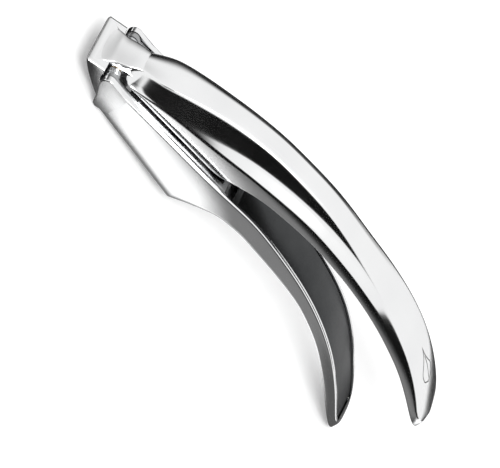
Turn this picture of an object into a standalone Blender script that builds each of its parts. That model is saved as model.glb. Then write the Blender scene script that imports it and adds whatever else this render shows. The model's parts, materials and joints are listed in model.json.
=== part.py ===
"""Garlic press: two cast levers on one hinge pin, a swinging sieve basket and a pinned plunger.

Shapes are drawn in millimetres in the press's own drawing frame. Its Y axis is the hinge pin's axis,
+X runs along the hopper's rim towards the handle ends, and +Z is up from the rim. One empty turns the
whole press to stand on the hopper's front edge and the lower handle's tip, centred over the origin.
"""
import math

import bmesh
import bpy
import numpy as np
from mathutils import Matrix, Vector

MM = 0.001
GAP = 0.3
GRID_STEP = 0.5

# Hinge and pins
HINGE_AT = (0.4, -2.2)
HINGE_PIN_RADIUS = 1.5
HINGE_BORE_RADIUS = 1.8
HINGE_BLIND_END = -15.5
CAP_RADIUS = 2.0
CAP_HEIGHT = 0.7
SPACER_RADIUS = 2.9
PLUNGER_PIN_AT = (36.0, 5.0)
PLUNGER_PIN_RADIUS = 1.9
BUSH_WALL = 0.8
KNUCKLE_RADIUS = 4.4
ROUND_SIDES = 24

# Widths across the press, as half-widths from its middle plane
EAR_INNER = 13.5
EAR_OUTER = 16.4
PIN_END = 14.8
CAP_SEAT = 15.3
HEAD_HALF_WIDTH = 13.2
NECK_HALF_WIDTH = 7.7
LUG_INNER = 10.9
LUG_OUTER = 13.1
BASKET_INNER = 10.5
BASKET_OUTER = 11.7
PLUNGER_HALF_WIDTH = 10.1
STEM_HALF_WIDTH = 4.6
BAY_HALF_WIDTH = 8.4
SLOT_HALF_WIDTH = 6.4
SLOT_ROOF = 5.0
HOLLOW_HALF_WIDTH = 4.6
OUTLET_HALF_WIDTH = 10.6
HANDLE_WALL = 1.7
SEAT_DEPTH = 2.4
INSERT_DEPTH = 0.9
INSERT_THICKNESS = 1.2
FLOOR_WALL = 3.0

# Where the inserts' seats start and end, and heights clear of the whole hopper
LOWER_SEAT = (69.7, 170.0)
UPPER_SEAT = (66.0, 180.5)
ABOVE = 12
BELOW = -30

# The hopper's straight bottom, and the layers that lie parallel above it
HOPPER_FRONT = (3.4, -14.0)
HOPPER_REAR = (51.7, -22.0)
BASKET_FLOOR_RISE = FLOOR_WALL + 0.35
LEDGE = 1.15
SIEVE_RISE = BASKET_FLOOR_RISE + LEDGE + GAP
SIEVE_THICKNESS = 1.0
PLUNGER_RISE = SIEVE_RISE + SIEVE_THICKNESS + 0.4
PLUNGER_PLATE = 3.0
SIEVE_FROM, SIEVE_TO = 15.8, 48.4
HOLE_RADIUS = 1.0
HOLE_PITCH = 3.4
COLUMN_PITCH = 3.0
HOLE_MIDDLE = 32.3
HOLE_COLUMNS = 9
HOLE_SIDES = 8

# Side outlines along the press: (x, z) points for heights and (x, y) points for half-widths
LOWER_RIM = [(3.4, 0), (75, 0), (93.4, -3.5), (119.8, -9.9), (139, -18.4), (154.7, -30.3),
             (166, -41.8), (178, -54.6)]
LOWER_BOTTOM = [(51.7, -22.0), (63, -14.8), (70.6, -11.4), (80, -11.2), (89, -12.6), (117, -16.2),
                (126, -19.2), (136, -23.9), (150, -34.2), (160, -42.7), (168, -49.2), (178, -57.2)]
LOWER_WIDTH = [(3.4, 16.2), (55, 16.2), (68, 15.2), (75, 14.5), (93, 12.2), (110, 11.6), (140, 12.3),
               (150, 12.0), (160, 11.4), (178, 10.6)]
HOPPER_WIDTH = [(7, 13.5), (20, 13.6), (50, 14.4), (60, 14.0), (67, 13.2)]
CROWN_RISE = [(7, 1.0), (20, 2.0), (60, 2.4), (120, 2.2), (150, 1.6), (171, 1.1), (190.5, 0.6)]
EDGE_WIDTH = [(7, 5.4), (9, 6.2), (15.4, 8.2), (26, 7.7), (40.3, 6.8), (67, 6.4), (111, 6.8), (129, 7.9),
              (146.4, 9.2), (163, 10.4), (190.5, 10.8)]
EDGE_HEIGHT = [(7, 6.8), (15.4, 11.4), (26, 15.6), (40.3, 20.0), (51.4, 22.4), (67.3, 24.4),
               (88.1, 24.3), (100, 23.0), (111.4, 20.8), (129, 17.0), (146.4, 11.5), (163, 3.4),
               (171, -1.6), (180, -8.8), (190.5, -18.8)]
CREASE_WIDTH = [(7, 10.2), (26, 10.6), (40, 9.4), (55, 8.0), (68.5, 7.2), (108.5, 7.4),
                (125, 8.4), (160, 10.9), (190.5, 11.2)]
CREASE_HEIGHT = [(7, 1.5), (26, 7.0), (40.4, 11.6), (55, 15.5), (68.5, 18.1), (83, 19.9),
                 (96.3, 20.2), (108.5, 19.0), (125, 16.2), (146.4, 10.2), (163, 2.4), (171, -2.4),
                 (180, -9.5), (190.5, -19.5)]
SHOULDER_WIDTH = [(7, 11), (150, 11), (165, 11.3), (190.5, 11.3)]
SHOULDER_HEIGHT = [(7, 0.9), (33, 7.0), (48.9, 9.4), (63.2, 12.5), (74.5, 14.0), (94.8, 16.1),
                   (119.5, 14.0), (138.6, 9.3), (157.9, 3.4), (171, -3.2), (180, -10.2),
                   (190.5, -20.2)]
UPPER_BOTTOM = [(7, 0.4), (56, 0.4), (62.8, 3.7), (78.9, 8.6), (100.5, 10.4), (116.8, 9.2),
                (134.1, 6.2), (159.3, -2.2), (169.2, -7.4), (181, -15.2), (190.5, -21.9)]
RIDGE_WIDTH = [(-10.5, 9.5), (-8, 9.5), (-5.5, 8.9), (-3.2, 7.6), (-1, 7.4), (2, 6.9), (5, 5.8),
               (7, 5.6), (9, 6.1)]
RIDGE_HEIGHT = [(-10.5, -1.8), (-8, -0.95), (-4.8, 0.7), (0, 3.3), (5, 5.9), (7, 6.6), (9, 7.6)]
RIDGE_FROM = -10.5
RIDGE_DEPTH = 3.4
UPPER_TIP = (177.0, 188.6)
LOWER_TIP = (162.5, 172.2)
TIP_POWER = 3.2
TIP_PARTS = (0.3, 0.55, 0.75, 0.9, 0.97, 0.995)
LEVER_FRONT = 4.2
FRONT_TAPER = 3.4
FRONT_SHARE = 0.72

# Closed side outlines of the head, neck, ears and basket
HEAD_TOP_AND_NOSE = [(-4.4, 0.1), (-11.4, -1.8), (-12.3, -2.5), (-12.2, -3.2), (-11.1, -4.3),
                     (-7.5, -7.1), (-0.85, -11.1), (3.35, -12.9)]
HEAD_CORNER = 2.0
NECK = [(-9, -3.4), (-4.6, -0.3), (0, 1.0), (9.5, 3.9), (9.5, 0.9), (8.6, -1.5), (6.6, -6.2),
        (4.8, -9.6), (2.6, -12.2), (-0.85, -10.6), (-7, -6.4)]
POCKET_RADIUS = 3.9
EAR_RADIUS = 3.1
LUG_RADIUS = 3.0
BASKET_FRONT = 14.2
BASKET_WALL = 1.2
BASKET_TOP = -0.5


def remove_everything():
    for obj in list(bpy.data.objects):
        bpy.data.objects.remove(obj, do_unlink=True)


def smooth(points, blur=6.0):
    """A function of x close to the points: a cubic with no overshoot, then softened over blur mm."""
    xs, ys = np.array(points, float).T
    steps = np.diff(ys) / np.diff(xs)
    before, after = steps[:-1], steps[1:]
    total = np.where(before * after > 0, before + after, 1)
    slopes = np.where(before * after > 0, 2 * before * after / total, 0)
    slopes = np.concatenate([steps[:1], slopes, steps[-1:]])
    grid = np.arange(xs[0] - 4 * blur, xs[-1] + 4 * blur, GRID_STEP)
    i = np.clip(np.searchsorted(xs, grid) - 1, 0, len(xs) - 2)
    span = xs[i + 1] - xs[i]
    t = np.clip((grid - xs[i]) / span, 0, 1)
    values = (2 * t ** 3 - 3 * t ** 2 + 1) * ys[i] + (t ** 3 - 2 * t ** 2 + t) * span * slopes[i]
    values += (3 * t ** 2 - 2 * t ** 3) * ys[i + 1] + (t ** 3 - t ** 2) * span * slopes[i + 1]
    values += np.minimum(grid - xs[0], 0) * slopes[0] + np.maximum(grid - xs[-1], 0) * slopes[-1]
    reach = np.arange(-3 * blur, 3 * blur + GRID_STEP, GRID_STEP)
    kernel = np.exp(-0.5 * (reach / blur) ** 2)
    soft = np.convolve(values, kernel / kernel.sum(), mode="same")
    return lambda x: float(np.interp(x, grid, soft))


def tip_round(x, tip):
    """How much of the full width is left where a handle's end rounds off in plan."""
    start, end = tip
    t = min(max((x - start) / (end - start), 0.0), 1.0)
    return (1 - t ** TIP_POWER) ** (1 / TIP_POWER)


lower_rim = smooth(LOWER_RIM)
rear_bottom = smooth(LOWER_BOTTOM, 2.5)
lower_full_width = smooth(LOWER_WIDTH)
hopper_width = smooth(HOPPER_WIDTH)
crown_rise = smooth(CROWN_RISE)
edge_full_width = smooth(EDGE_WIDTH, 2.5)
edge_height = smooth(EDGE_HEIGHT)
crease_full_width = smooth(CREASE_WIDTH)
crease_height = smooth(CREASE_HEIGHT)
shoulder_full_width = smooth(SHOULDER_WIDTH)
shoulder_height = smooth(SHOULDER_HEIGHT)
upper_bottom = smooth(UPPER_BOTTOM, 3.0)
ridge_width = smooth(RIDGE_WIDTH, 0.7)
ridge_height = smooth(RIDGE_HEIGHT, 0.7)


def lower_width(x):
    return lower_full_width(x) * tip_round(x, LOWER_TIP)


def edge_width(x):
    return edge_full_width(x) * tip_round(x, UPPER_TIP)


def front_taper(x):
    """How much of the full width is left where the upper lever narrows to its neck."""
    t = min(max((x - LEVER_FRONT) / FRONT_TAPER, 0.0), 1.0)
    return FRONT_SHARE + (1 - FRONT_SHARE) * math.sin(t * math.pi / 2)


def crease_width(x):
    return crease_full_width(x) * tip_round(x, UPPER_TIP) * front_taper(x)


def shoulder_width(x):
    return shoulder_full_width(x) * tip_round(x, UPPER_TIP) * front_taper(x)


def hopper_line(x, rise=0.0):
    """The hopper's straight bottom, or a layer this far above it."""
    slope = (HOPPER_REAR[1] - HOPPER_FRONT[1]) / (HOPPER_REAR[0] - HOPPER_FRONT[0])
    return HOPPER_FRONT[1] + slope * (x - HOPPER_FRONT[0]) + rise


def lower_bottom(x):
    return hopper_line(x) if x <= HOPPER_REAR[0] else rear_bottom(x)


def spaced(first, last, count):
    return [first + (last - first) * i / (count - 1) for i in range(count)]


def arc(centre, radius, start, end, count):
    """Points of a side-view arc, with its angles in degrees from +X towards +Z."""
    angles = [math.radians(a) for a in spaced(start, end, count)]
    return [(centre[0] + radius * math.cos(a), centre[1] + radius * math.sin(a)) for a in angles]


def material(name, colour, roughness, metallic=1.0):
    made = bpy.data.materials.new(name)
    made.use_nodes = True
    shader = made.node_tree.nodes["Principled BSDF"]
    shader.inputs["Base Color"].default_value = (*colour, 1.0)
    shader.inputs["Roughness"].default_value = roughness
    shader.inputs["Metallic"].default_value = metallic
    made.diffuse_color = (*colour, 1.0)
    return made


def mesh_object(name, shape):
    """An object made from a bmesh that was drawn in millimetres."""
    bmesh.ops.recalc_face_normals(shape, faces=shape.faces)
    bmesh.ops.scale(shape, vec=(MM, MM, MM), verts=shape.verts)
    mesh = bpy.data.meshes.new(name)
    shape.to_mesh(mesh)
    shape.free()
    mesh.shade_smooth()
    mesh.set_sharp_from_angle(angle=math.radians(30))
    obj = bpy.data.objects.new(name, mesh)
    bpy.context.scene.collection.objects.link(obj)
    obj.parent = stance
    return obj


def loft(name, loops):
    """A closed skin through loops of equal length, with flat ends."""
    shape = bmesh.new()
    rings = [[shape.verts.new(point) for point in loop] for loop in loops]
    count = len(rings[0])
    for first, second in zip(rings, rings[1:]):
        for i in range(count):
            j = (i + 1) % count
            shape.faces.new((first[i], first[j], second[j], second[i]))
    shape.faces.new(rings[0])
    shape.faces.new(rings[-1])
    return mesh_object(name, shape)


def plate(name, outline, low, high):
    """A side outline given thickness across the press, from y = low to y = high."""
    return loft(name, [[(x, y, z) for x, z in outline] for y in (low, high)])


def both_ways(x, half):
    """A section's loop from the points of one half, listed from its top middle to its bottom middle."""
    mirrored = [(y, z) for y, z in reversed(half) if y > 0]
    return [(x, y, z) for y, z in half] + [(x, -y, z) for y, z in mirrored]


def box_section(x, half_width, low, high):
    return [(x, half_width, high), (x, half_width, low), (x, -half_width, low), (x, -half_width, high)]


def rod(name, at, radius, low, high, sides=ROUND_SIDES):
    """A round bar across the press."""
    return plate(name, arc(at, radius, 0, 360 * (1 - 1 / sides), sides), low, high)


def ring(name, at, inner, outer, low, high):
    made = rod(name, at, outer, low, high)
    cut(made, rod(name + "_bore", at, inner, low - 1, high + 1))
    return made


def change(obj, other, operation):
    boolean = obj.modifiers.new(other.name, "BOOLEAN")
    boolean.operation = operation
    boolean.solver = "EXACT"
    boolean.object = other
    other.hide_render = True
    other.display_type = "WIRE"
    other.hide_viewport = False


def cut(obj, *others):
    for other in others:
        change(obj, other, "DIFFERENCE")


def join(obj, *others):
    for other in others:
        change(obj, other, "UNION")


def soften(obj, width, segments=2):
    bevel = obj.modifiers.new("bevel", "BEVEL")
    bevel.width = width * MM
    bevel.segments = segments
    bevel.limit_method = "ANGLE"
    bevel.angle_limit = math.radians(50)


def turn_about(obj, at):
    """Move an object's origin onto a pin axis, leaving its shape in place."""
    point = Vector((at[0], 0, at[1])) * MM
    obj.data.transform(Matrix.Translation(-point))
    obj.location = point


# Lower lever

def lower_section(x):
    width, rim, bottom = lower_width(x), lower_rim(x), lower_bottom(x)
    corner = min(4.0, 0.4 * (rim - bottom), 0.5 * width)
    half = [(0, rim), (width - 0.2 * corner, rim), (width, rim - 0.2 * corner),
            (width, bottom + corner), (width - 0.3 * corner, bottom + 0.3 * corner),
            (width - corner, bottom), (0, bottom)]
    return both_ways(x, half)


def ear(name, side):
    """One hinge ear: round over the pin, with a slanted front edge down to the hopper's bottom."""
    outline = arc(HINGE_AT, EAR_RADIUS, 75, 210, 10)
    outline += [(1.7, -10.2), (2.7, -13.0), (4.0, hopper_line(4.0) + 0.1)]
    outline += [(10, hopper_line(10) + 3.4), (10, -0.4)]
    low, high = sorted((side * EAR_INNER, side * EAR_OUTER))
    made = plate(name, outline, low, high)
    soften(made, 0.4, 1)
    return made


def make_lower_lever():
    tip_start, tip_end = LOWER_TIP
    stations = spaced(3.4, 43, 5) + [HOPPER_REAR[0], 54.5, 57.5, 60.5, 63, 66.5, 70.6]
    stations += spaced(75, tip_start, 18)
    stations += [tip_start + (tip_end - tip_start) * part for part in TIP_PARTS]
    lever = loft("lower_lever", [lower_section(x) for x in stations])
    join(lever, ear("near_ear", -1), ear("far_ear", 1))

    inside = [(x, hopper_line(x, FLOOR_WALL)) for x in (7, 20, 35, 50.5)]
    inside += [(56, -15.1), (61.8, -11.2), (67, -7.4)]
    hopper = loft("hopper_space", [box_section(x, hopper_width(x), z, ABOVE) for x, z in inside])
    front = plate("hopper_mouth", [(-12, ABOVE), (-12, BELOW), (7.6, BELOW), (7.6, ABOVE)],
                  -EAR_INNER, EAR_INNER)
    outlet = plate("outlet_space", [(12, -9), (12, BELOW), (48, BELOW), (48, -9)],
                   -OUTLET_HALF_WIDTH, OUTLET_HALF_WIDTH)

    seat = [box_section(x, lower_width(x) - HANDLE_WALL, lower_rim(x) - SEAT_DEPTH, lower_rim(x) + 6)
            for x in spaced(*LOWER_SEAT, 22)]
    hollow = [box_section(x, lower_width(x) - 2 * HANDLE_WALL, lower_bottom(x) + 1.9,
                          lower_rim(x) - 1.5) for x in spaced(73, 166, 18)]
    bore = rod("ear_bore", HINGE_AT, HINGE_BORE_RADIUS, HINGE_BLIND_END, 20)
    cap_seat = rod("cap_seat", HINGE_AT, CAP_RADIUS + GAP, CAP_SEAT, 20)
    cut(lever, hopper, front, outlet, loft("lower_seat_space", seat),
        loft("lower_hollow_space", hollow), bore, cap_seat)
    return lever


def make_insert(name, width, surface, ends, direction):
    """A thin plate let into a handle, following its surface from just inside it."""
    loops = []
    for x in spaced(ends[0] + GAP, ends[1] - GAP, 22):
        near = surface(x) + direction * INSERT_DEPTH
        deep = near + direction * INSERT_THICKNESS
        loops.append(box_section(x, width(x) - HANDLE_WALL - GAP, min(near, deep), max(near, deep)))
    return loft(name, loops)


# Upper lever

def upper_section(x):
    edge, top = edge_width(x), edge_height(x)
    rise = crown_rise(x)
    crown = [(edge * part, top + rise * (1 - part ** 2)) for part in (0, 0.45, 0.8)]
    shoulder, bottom = shoulder_width(x), upper_bottom(x)
    low = max(shoulder_height(x), bottom + 0.5)
    half = crown + [(edge, top), (crease_width(x), max(crease_height(x), low + 0.5)), (shoulder, low),
                    (shoulder, bottom + 0.2), (shoulder - 0.4, bottom), (0, bottom)]
    return both_ways(x, half)


def ridge_section(x):
    edge, top = ridge_width(x), ridge_height(x)
    rise = min(0.9, 0.16 * (x - RIDGE_FROM))
    bottom = top - min(RIDGE_DEPTH, 2.0 + 0.3 * (x - RIDGE_FROM))
    half = [(0, top + rise), (edge * 0.6, top + rise * 0.64), (edge, top), (edge, bottom), (0, bottom)]
    return both_ways(x, half)


def head_outline(y):
    """The head's side outline, drawn in where its outer corners round off."""
    over = max(0.0, abs(y) - (HEAD_HALF_WIDTH - HEAD_CORNER))
    inset = HEAD_CORNER - math.sqrt(max(0.0, HEAD_CORNER ** 2 - over ** 2))
    top, nose = HEAD_TOP_AND_NOSE[:2], HEAD_TOP_AND_NOSE[2:]
    outline = [(x + 0.1 * inset, z - 0.45 * inset) for x, z in top]
    outline += [(x + 0.55 * inset, z + 0.2 * inset) for x, z in nose]
    return outline + arc(HINGE_AT, POCKET_RADIUS, 250, 172, 7)


def make_upper_lever():
    tip_start, tip_end = UPPER_TIP
    stations = [LEVER_FRONT, 5.2, 6.4, 7.6, 9, 12, 15.4, 20, 26] + spaced(32, tip_start, 25)
    stations += [tip_start + (tip_end - tip_start) * part for part in TIP_PARTS]
    lever = loft("upper_lever", [upper_section(x) for x in stations])

    flat = HEAD_HALF_WIDTH - HEAD_CORNER
    half = [flat + HEAD_CORNER * part for part in (0.0, 0.4, 0.7, 0.9, 1.0)]
    across = [-y for y in reversed(half)] + half
    head = loft("head_block", [[(x, y, z) for x, z in head_outline(y)] for y in across])
    neck = plate("neck", NECK, -NECK_HALF_WIDTH, NECK_HALF_WIDTH)
    ridge = loft("ridge", [ridge_section(x) for x in (RIDGE_FROM, -8.5, -6.5, -4.5, -2.5, 0, 2.5, 5, 7, 9)])
    join(lever, neck, head, ridge)

    bay = [box_section(x, BAY_HALF_WIDTH, -12, shoulder_height(x) + 1.5) for x in spaced(14, 60, 8)]
    slot = [box_section(x, SLOT_HALF_WIDTH, -11, edge_height(x) - SLOT_ROOF) for x in spaced(16, 58, 8)]
    seat = [box_section(x, shoulder_width(x) - HANDLE_WALL, upper_bottom(x) - 6,
                        upper_bottom(x) + SEAT_DEPTH) for x in spaced(*UPPER_SEAT, 22)]
    hollow = [box_section(x, HOLLOW_HALF_WIDTH, upper_bottom(x) + 1.5, edge_height(x) - 1.9)
              for x in spaced(70, 163, 18)]
    hinge_bore = rod("neck_bore", HINGE_AT, HINGE_BORE_RADIUS + BUSH_WALL + GAP, -20, 20)
    pin_bore = rod("plunger_pin_bore", PLUNGER_PIN_AT, PLUNGER_PIN_RADIUS + GAP, -10.2, 14)
    cut(lever, loft("plunger_bay", bay), loft("stem_slot", slot), loft("upper_seat_space", seat),
        loft("upper_hollow_space", hollow), hinge_bore, pin_bore)
    return lever


# Hinge pieces

def make_hinge_pin():
    pin = rod("hinge_pin", HINGE_AT, HINGE_PIN_RADIUS, HINGE_BLIND_END + GAP, PIN_END)
    soften(pin, 0.2, 1)
    return pin


def make_hinge_pin_cap():
    """A flush button in the far ear, with a plug that closes the pin's bore."""
    cap_from = CAP_SEAT + GAP
    cap = rod("hinge_pin_cap", HINGE_AT, CAP_RADIUS, cap_from, cap_from + CAP_HEIGHT)
    soften(cap, 0.25, 1)
    join(cap, rod("hinge_pin_cap_plug", HINGE_AT, HINGE_PIN_RADIUS, PIN_END + GAP, cap_from + GAP))
    return cap


def spacer(name, side):
    low, high = sorted((side * (NECK_HALF_WIDTH + GAP), side * (LUG_INNER - GAP)))
    return ring(name, HINGE_AT, HINGE_BORE_RADIUS, SPACER_RADIUS, low, high)


def hinge_bush():
    half = NECK_HALF_WIDTH - 0.2
    return ring("hinge_bush", HINGE_AT, HINGE_BORE_RADIUS, HINGE_BORE_RADIUS + BUSH_WALL, -half, half)


# Plunger

def make_plunger():
    """A plate that fits the basket, with a stem that rises to the knuckle on its own pin."""
    front = SIEVE_FROM + 0.2
    under = [(front, hopper_line(front, PLUNGER_RISE)), (48, hopper_line(48, PLUNGER_RISE)),
             (55.5, -9.6), (57.0, -7.4)]
    over = [(57.0, -5.4), (48, -11.4), (front, hopper_line(front, PLUNGER_RISE + PLUNGER_PLATE))]
    plunger = plate("plunger", under + over, -PLUNGER_HALF_WIDTH, PLUNGER_HALF_WIDTH)
    knuckle = arc(PLUNGER_PIN_AT, KNUCKLE_RADIUS, -20, 200, 14)
    stem_foot = [(27, hopper_line(27, PLUNGER_RISE + 1)), (45, hopper_line(45, PLUNGER_RISE + 1))]
    stem = plate("plunger_stem", knuckle + stem_foot, -STEM_HALF_WIDTH, STEM_HALF_WIDTH)
    join(plunger, stem)
    cut(plunger, rod("stem_bore", PLUNGER_PIN_AT, PLUNGER_PIN_RADIUS + BUSH_WALL + 2 * GAP, -14, 14))
    return plunger


def plunger_bush():
    inner = PLUNGER_PIN_RADIUS + GAP
    return ring("plunger_bush", PLUNGER_PIN_AT, inner, inner + BUSH_WALL, -STEM_HALF_WIDTH, STEM_HALF_WIDTH)


# Basket

def basket_arm(name, side):
    """A lug round the hinge pin, and the arm that carries it forward from the basket's rim."""
    outline = arc(HINGE_AT, LUG_RADIUS, 62, 282, 14)
    outline += [(8, -4.2), (15.4, -3.8), (15.4, -0.7), (3.6, -0.55)]
    low, high = sorted((side * LUG_INNER, side * LUG_OUTER))
    return plate(name, outline, low, high)


def basket_side(inset):
    """The cup's side outline, or that of the space inside it."""
    front = BASKET_FRONT + inset
    top = BASKET_TOP if inset == 0 else 6
    rise = BASKET_FLOOR_RISE + (LEDGE if inset else 0)
    rear = 49.6 - 0.5 * inset
    return [(front, top), (front, hopper_line(front, rise)), (rear, hopper_line(rear, rise)),
            (60.2 - inset, -11.2 + 0.6 * inset), (61.7 - inset, -8.5), (61.7 - inset, top)]


def make_basket():
    basket = plate("sieve_basket", basket_side(0), -BASKET_OUTER, BASKET_OUTER)
    rim = plate("basket_rim", [(14.0, -0.4), (14.0, -1.6), (62.8, -1.6), (62.8, -0.4)],
                -LUG_OUTER, LUG_OUTER)
    lip = plate("thumb_lip", [(61.9, -0.45), (61.9, -1.55), (64, -1.4), (66.2, 0.2), (66.6, 1.3),
                              (65.6, 1.5), (63.8, -0.1)], -6.5, 6.5)
    join(basket, rim, lip, basket_arm("near_lug", -1), basket_arm("far_lug", 1))
    space = plate("basket_space", basket_side(BASKET_WALL), -BASKET_INNER, BASKET_INNER)
    window = plate("basket_window", [(18.2, -8), (18.2, BELOW), (46.4, BELOW), (46.4, -8)], -8.2, 8.2)
    cut(basket, space, window, rod("lug_bore", HINGE_AT, HINGE_BORE_RADIUS, -20, 20))
    return basket


def make_sieve_plate():
    ends = (SIEVE_FROM, SIEVE_TO)
    corners = [(x, hopper_line(x, SIEVE_RISE)) for x in ends]
    corners += [(x, hopper_line(x, SIEVE_RISE + SIEVE_THICKNESS)) for x in reversed(ends)]
    sieve = plate("sieve_plate", corners, -BASKET_INNER + GAP, BASKET_INNER - GAP)
    shape = bmesh.new()
    for column in range(HOLE_COLUMNS):
        x = HOLE_MIDDLE + (column - (HOLE_COLUMNS - 1) / 2) * COLUMN_PITCH
        rows = 5 if column % 2 == 0 else 4
        for row in range(rows):
            y = (row - (rows - 1) / 2) * HOLE_PITCH
            place = Matrix.Translation((x, y, hopper_line(x, SIEVE_RISE)))
            bmesh.ops.create_cone(shape, cap_ends=True, segments=HOLE_SIDES, radius1=HOLE_RADIUS,
                                  radius2=HOLE_RADIUS, depth=6, matrix=place)
    cut(sieve, mesh_object("sieve_holes", shape))
    return sieve


def standing_angle():
    """How far the press leans back when it stands on the hopper's front edge and the handle's tip."""
    front, drop = HOPPER_FRONT
    reach = spaced(*LOWER_TIP, 20)
    return max(math.atan2(drop - lower_bottom(x), x - front) for x in reach)


def stand_on_origin(nodes):
    """Shift the press so that its box stands on the origin, centred over it."""
    bpy.context.view_layer.update()
    graph = bpy.context.evaluated_depsgraph_get()
    low, high = Vector((1e9,) * 3), Vector((-1e9,) * 3)
    for node in nodes:
        seen = node.evaluated_get(graph)
        mesh = seen.to_mesh()
        for vertex in mesh.vertices:
            point = seen.matrix_world @ vertex.co
            low = Vector(map(min, low, point))
            high = Vector(map(max, high, point))
        seen.to_mesh_clear()
    stance.location = (-(low.x + high.x) / 2, -(low.y + high.y) / 2, -low.z)


remove_everything()
stance = bpy.data.objects.new("stance", None)
bpy.context.scene.collection.objects.link(stance)
stance.rotation_euler = (0, -standing_angle(), 0)

chrome = material("chrome", (0.82, 0.83, 0.84), 0.12)
satin = material("satin_chrome", (0.36, 0.37, 0.38), 0.35)
steel = material("stainless_steel", (0.60, 0.61, 0.62), 0.28)
cast = material("bare_casting", (0.50, 0.51, 0.52), 0.40)
bronze = material("bronze_bush", (0.55, 0.40, 0.20), 0.45)

on_hinge = {
    make_lower_lever(): chrome,
    make_insert("lower_handle_insert", lower_width, lower_rim, LOWER_SEAT, -1): satin,
    make_upper_lever(): chrome,
    make_insert("upper_handle_insert", shoulder_width, upper_bottom, UPPER_SEAT, 1): satin,
    make_hinge_pin(): steel,
    make_hinge_pin_cap(): steel,
    hinge_bush(): bronze,
    spacer("near_hinge_spacer", -1): steel,
    spacer("far_hinge_spacer", 1): steel,
    make_basket(): cast,
    make_sieve_plate(): steel,
}
on_plunger_pin = {
    rod("plunger_pin", PLUNGER_PIN_AT, PLUNGER_PIN_RADIUS, -9.9, 10.8): steel,
    make_plunger(): cast,
    plunger_bush(): bronze,
}
for axis, pieces in ((HINGE_AT, on_hinge), (PLUNGER_PIN_AT, on_plunger_pin)):
    for node, finish in pieces.items():
        node.data.materials.append(finish)
        turn_about(node, axis)
stand_on_origin([*on_hinge, *on_plunger_pin])
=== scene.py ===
"""Looks for the garlic press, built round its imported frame.

The castings' skins are lofted from the same side outlines as the frame's solids, drawn in millimetres in
the press's drawing frame: Y along the hinge pin, +X towards the handle ends, +Z up from the hopper's rim.
"""
import json
import math

import bmesh
import bpy
import numpy as np
from mathutils import Matrix, Vector


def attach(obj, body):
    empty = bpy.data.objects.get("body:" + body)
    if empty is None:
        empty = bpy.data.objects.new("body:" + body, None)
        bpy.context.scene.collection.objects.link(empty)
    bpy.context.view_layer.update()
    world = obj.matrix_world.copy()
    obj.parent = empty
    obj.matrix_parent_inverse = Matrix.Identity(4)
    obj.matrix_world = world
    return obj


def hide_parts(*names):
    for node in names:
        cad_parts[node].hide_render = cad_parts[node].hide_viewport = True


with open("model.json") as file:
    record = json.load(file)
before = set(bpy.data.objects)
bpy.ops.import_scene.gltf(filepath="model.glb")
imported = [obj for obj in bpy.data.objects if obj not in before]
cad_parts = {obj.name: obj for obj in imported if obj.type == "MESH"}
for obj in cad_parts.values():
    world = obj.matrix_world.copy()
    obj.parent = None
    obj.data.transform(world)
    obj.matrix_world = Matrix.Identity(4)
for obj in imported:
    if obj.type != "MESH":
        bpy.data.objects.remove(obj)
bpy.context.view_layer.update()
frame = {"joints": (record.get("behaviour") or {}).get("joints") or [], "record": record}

MM = 0.001

# ---------------------------------------------------------------- drawing frame
HINGE_AT = (0.4, -2.2)
PLUNGER_PIN_AT = (36.0, 5.0)
joints = {joint["name"]: joint for joint in frame["joints"]}
hinge = Vector(joints["handle_hinge"]["pos_m"])
plunger_pin = Vector(joints["plunger_tilt"]["pos_m"])
reach = plunger_pin - hinge
drawn_reach = (PLUNGER_PIN_AT[0] - HINGE_AT[0], PLUNGER_PIN_AT[1] - HINGE_AT[1])
stance = math.atan2(reach.z, reach.x) - math.atan2(drawn_reach[1], drawn_reach[0])
DRAWING = Matrix.Translation(hinge) @ Matrix.Rotation(-stance, 4, "Y") @ Matrix.Scale(MM, 4)
DRAWING = DRAWING @ Matrix.Translation((-HINGE_AT[0], 0, -HINGE_AT[1]))


def placed(x, y, z):
    """A point of the drawing frame, in metres in the row's frame."""
    return DRAWING @ Vector((x, y, z))


def facing(x, y, z):
    """A direction of the drawing frame, in the row's frame."""
    return (DRAWING.to_3x3() @ Vector((x, y, z))).normalized()


# ---------------------------------------------------------------- driving outlines
EAR_INNER = 13.5
EAR_OUTER = 16.4
HEAD_HALF_WIDTH = 13.2
NECK_HALF_WIDTH = 7.7
LUG_INNER = 10.9
LUG_OUTER = 13.1
BASKET_INNER = 10.5
BASKET_OUTER = 11.7
PLUNGER_HALF_WIDTH = 10.1
STEM_HALF_WIDTH = 4.6
BAY_HALF_WIDTH = 8.4
SLOT_HALF_WIDTH = 6.4
SLOT_ROOF = 5.0
HOLLOW_HALF_WIDTH = 4.6
OUTLET_HALF_WIDTH = 10.6
HANDLE_WALL = 1.7
SEAT_DEPTH = 2.4
INSERT_DEPTH = 0.9
INSERT_THICKNESS = 1.2
FLOOR_WALL = 3.0
HINGE_PIN_RADIUS = 1.5
HINGE_BORE_RADIUS = 1.8
HINGE_BLIND_END = -15.5
PIN_END = 14.8
CAP_SEAT = 15.3
CAP_RADIUS = 2.0
CAP_HEIGHT = 0.7
CAP_EDGE = 0.25
CAP_DIMPLE = 0.15
SPACER_RADIUS = 2.9
PLUNGER_PIN_RADIUS = 1.9
PLUNGER_PIN_ENDS = (-9.9, 10.8)
PLUNGER_BORE_END = -10.2
BUSH_WALL = 0.8
KNUCKLE_RADIUS = 4.4
GAP = 0.3
LOWER_SEAT = (69.7, 170.0)
UPPER_SEAT = (66.0, 180.5)
LOWER_HOLLOW = (73, 166)
UPPER_HOLLOW = (70, 163)
LOWER_HOLLOW_FLOOR, LOWER_HOLLOW_ROOF = 1.9, 1.5
UPPER_HOLLOW_FLOOR, UPPER_HOLLOW_ROOF = 1.5, 1.9
BAY = (14, 60)
BAY_BOTTOM = -12
BAY_RISE = 1.5
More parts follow.
